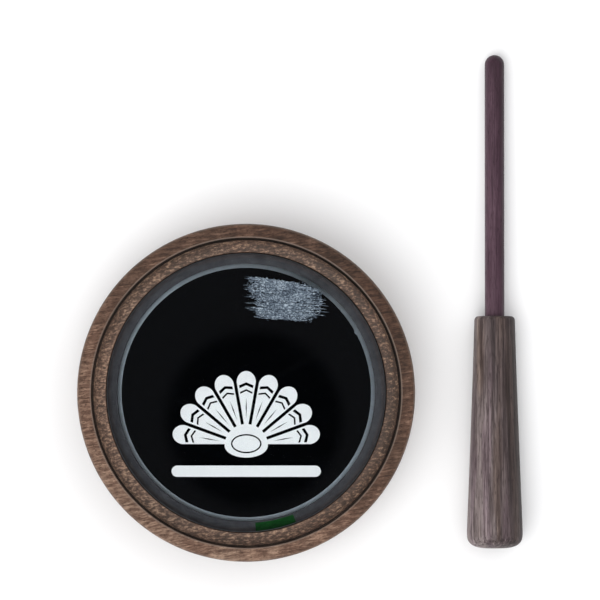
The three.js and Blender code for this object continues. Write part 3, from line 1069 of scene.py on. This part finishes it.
def add_stroke(build, start, end, width, height, bow):
    """One scratch: a long thin roof with pointed ends, its foot sunk into the glass."""
    along = end - start
    across = Vector((-along.y, along.x)).normalized()
    foot = glass_high.z - STROKE_SINK
    first = build.verts.new((*(start * MM), foot))
    last = build.verts.new((*(end * MM), foot))
    rows = []
    for station, swell in STROKE_SWELL:
        middle = start + along * station + across * bow * math.sin(math.pi * station)
        left = (middle + across * width * swell / 2) * MM
        right = (middle - across * width * swell / 2) * MM
        rows.append([
            build.verts.new((*left, foot)),
            build.verts.new((*(middle * MM), foot + height * swell)),
            build.verts.new((*right, foot)),
        ])
    for side in range(3):
        after = (side + 1) % 3
        build.faces.new((first, rows[0][side], rows[0][after]))
        build.faces.new((last, rows[-1][after], rows[-1][side]))
        for near, far in zip(rows, rows[1:]):
            build.faces.new((near[side], far[side], far[after], near[after]))


def long_stroke(build, draw):
    """A stroke along its row, clear of the patch's ragged left and right edges."""
    left, right = row_at(draw.random())
    centre = 0.5 + 0.5 * draw.uniform(-1, 1) * draw.random() ** LONG_CROWDING
    length = draw.uniform(*LONG_SHARES)
    start_share = max(centre - length / 2, draw.gauss(*LEFT_EDGE_SPREAD))
    end_share = min(centre + length / 2, draw.gauss(*RIGHT_EDGE_SPREAD))
    if end_share - start_share < LEAST_SHARE:
        return
    start = left.lerp(right, start_share)
    end = left.lerp(right, end_share)
    end.y += draw.uniform(-LONG_SLANT, LONG_SLANT)
    width = draw.choice(LONG_WIDTHS)
    height = draw.uniform(*LONG_HEIGHTS) * MM
    bow = draw.uniform(-LONG_BOW, LONG_BOW)
    add_stroke(build, start, end, width, height, bow)


def short_stroke(build, draw):
    """A nick somewhere in the patch, more often near its middle."""
    left, right = row_at(draw.random())
    first_share = SHORT_FIRST + abs(draw.gauss(0, LEFT_EDGE_DEVIATION))
    share = min(SHORT_LAST, max(first_share, draw.gauss(*SHORT_SPREAD)))
    start = left.lerp(right, share)
    shift = draw.uniform(-SHORT_SHIFT, SHORT_SHIFT)
    start += Vector((shift, draw.gauss(0, ROW_DEVIATION)))
    reach = draw.uniform(*SHORT_LENGTHS)
    end = start + Vector((reach, draw.uniform(*SHORT_SLANTS)))
    width = draw.uniform(*SHORT_WIDTHS)
    height = draw.uniform(*SHORT_HEIGHTS) * MM
    add_stroke(build, start, end, width, height, 0)


def reaching_stroke(build, draw, share, reach):
    """A single stroke that runs on past the patch's right end."""
    left, right = row_at(share)
    start = left.lerp(right, draw.uniform(*REACHING_STARTS))
    end = Vector((reach, right.y - REACHING_DROP))
    add_stroke(build, start, end, REACHING_WIDTH, REACHING_HEIGHT * MM, REACHING_BOW)


def scuffed_patch():
    """The patch roughened for the striker: many fine strokes, nearly along X."""
    draw = random.Random(20)
    build = bmesh.new()
    for _ in range(LONG_STROKES):
        long_stroke(build, draw)
    for _ in range(SHORT_STROKES):
        short_stroke(build, draw)
    for share, reach in REACHING_STROKES:
        reaching_stroke(build, draw, share, reach)
    mesh = closed_mesh("scuffed_patch", build)
    piece("scuffed_patch", mesh, pot_place, "pot", [scuffed_glass()])


# ------ the striker


def handle_profile():
    """From the butt's centre, up the side and round the mouth into the blind bore."""
    butt = []
    for step in range(BUTT_STEPS):
        angle = QUARTER * step / BUTT_STEPS
        radius = HANDLE_THICK_RADIUS * math.sin(angle) ** BUTT_SQUARENESS
        butt.append((radius, HANDLE_THICK_AT * (1 - math.cos(angle) ** BUTT_SQUARENESS)))
    taper = []
    for step in range(TAPER_STEPS + 1):
        share = step / TAPER_STEPS
        swell = (1 - share) ** HANDLE_TAPER_POWER
        radius = HANDLE_THIN_RADIUS + (HANDLE_THICK_RADIUS - HANDLE_THIN_RADIUS) * swell
        taper.append((radius, HANDLE_THICK_AT + (SHOULDER_START - HANDLE_THICK_AT) * share))
    shoulder = arc(
        (HANDLE_THIN_RADIUS - SHOULDER_ROUND, SHOULDER_START),
        (SHOULDER_ROUND, HANDLE_LENGTH - SHOULDER_START), 0, QUARTER, SHOULDER_STEPS,
    )[1:]
    bore = [
        (BORE_RADIUS + BORE_ARRIS, HANDLE_LENGTH), (BORE_RADIUS, HANDLE_LENGTH - BORE_ARRIS),
        (BORE_RADIUS, BORE_START), (0, BORE_START),
    ]
    return butt + taper + shoulder + bore


def shaft_profile():
    """A plain dowel with a round tip."""
    round_start = STRIKER_LENGTH - SHAFT_RADIUS
    tip = corner((0, round_start), SHAFT_RADIUS, 0, QUARTER, SHAFT_TIP_STEPS)[:-1]
    return [(0, SHAFT_START), (SHAFT_RADIUS, SHAFT_START)] + tip + [(0, STRIKER_LENGTH)]


def laid_down(name, profile, material, replaces):
    """A turned piece of the striker, lying along Y as the striker rests."""
    mesh = lathe(name, profile, STRIKER_SEGMENTS)
    mesh.transform(Matrix.Rotation(-STRIKER_TURN, 4, "X"))
    smooth(mesh, STRIKER_SHARP)
    piece(name, mesh, striker_place, "striker", [material], [replaces])


def striker_handle():
    """Turned handle, thickest near its butt."""
    laid_down("turned_handle", handle_profile(), handle_walnut(), "striker_handle")


def striker_shaft():
    """The dowel, glued into the handle's bore."""
    laid_down("dowel_shaft", shaft_profile(), purpleheart(), "striker_shaft")


# ------ stage


def floor():
    """A large pale plane just under the object."""
    size = FLOOR_HALF_SIZE
    mesh = bpy.data.meshes.new("floor")
    corners = [(-size, -size, 0), (size, -size, 0), (size, size, 0), (-size, size, 0)]
    mesh.from_pydata(corners, [], [(0, 1, 2, 3)])
    mesh.materials.append(pale_floor())
    made = added("floor", mesh)
    made.location.z = -FLOOR_DROP


def sun(name, towards, strength, softness, mirrored):
    """A distant soft light that comes from the direction towards."""
    data = bpy.data.lights.new(name, "SUN")
    data.energy = strength
    data.angle = softness
    made = added(name, data)
    made.rotation_euler = Vector(towards).to_track_quat("Z", "Y").to_euler()
    made.visible_glossy = mirrored
    made.visible_transmission = mirrored


def world():
    """Bright low down, dark overhead, so that flat glass seen from above stays dark. A small
    darker round near the zenith is the camera's own lens, which the black glass mirrors."""
    made = bpy.data.worlds.new("studio")
    made.use_nodes = True
    sky = Nodes(made.node_tree)
    direction = sky.node("TexCoord", {}, output="Generated")
    _, _, height = sky.parts(direction)
    colour = sky.ramp(height, [(at, (level, level, level * SKY_BLUENESS)) for at, level in SKY_LEVELS])
    lens = Vector((*LENS_SEEN_AT, 1)).normalized()
    away = sky.node("VectorMath", {0: direction, 1: lens}, output="Value", operation="DISTANCE")
    inner = (1 - LENS_SOFTNESS) * LENS_SEEN_RADIUS
    outer = (1 + LENS_SOFTNESS) * LENS_SEEN_RADIUS
    strength = sky.remap(away, inner, outer, LENS_STRENGTH, SKY_STRENGTH)
    sky.end("World", sky.node("Background", {"Color": colour, "Strength": strength}))
    bpy.context.scene.world = made


def camera():
    """Straight down from far above, with the striker upright at the right."""
    data = bpy.data.cameras.new("camera")
    data.lens = LENS
    data.sensor_width = SENSOR_WIDTH
    data.clip_end = CLIP_END
    made = added("camera", data)
    distance = FRAME_WIDTH * LENS / SENSOR_WIDTH
    made.location = POT_AXIS + VIEW_CENTRE + Vector((0, 0, FOCUS_HEIGHT + distance))
    bpy.context.scene.camera = made


camera()
pot_body()
pedestal()
pedestal_glue()
soundboard()
emblem()
silicone_bead()
green_label()
playing_surface()
scuffed_patch()
striker_handle()
striker_shaft()

floor()
for sun_name, sun_light in SUNS.items():
    sun(sun_name, *sun_light)
world()
bpy.context.scene.view_settings.view_transform = "Standard"

bpy.context.view_layer.update()
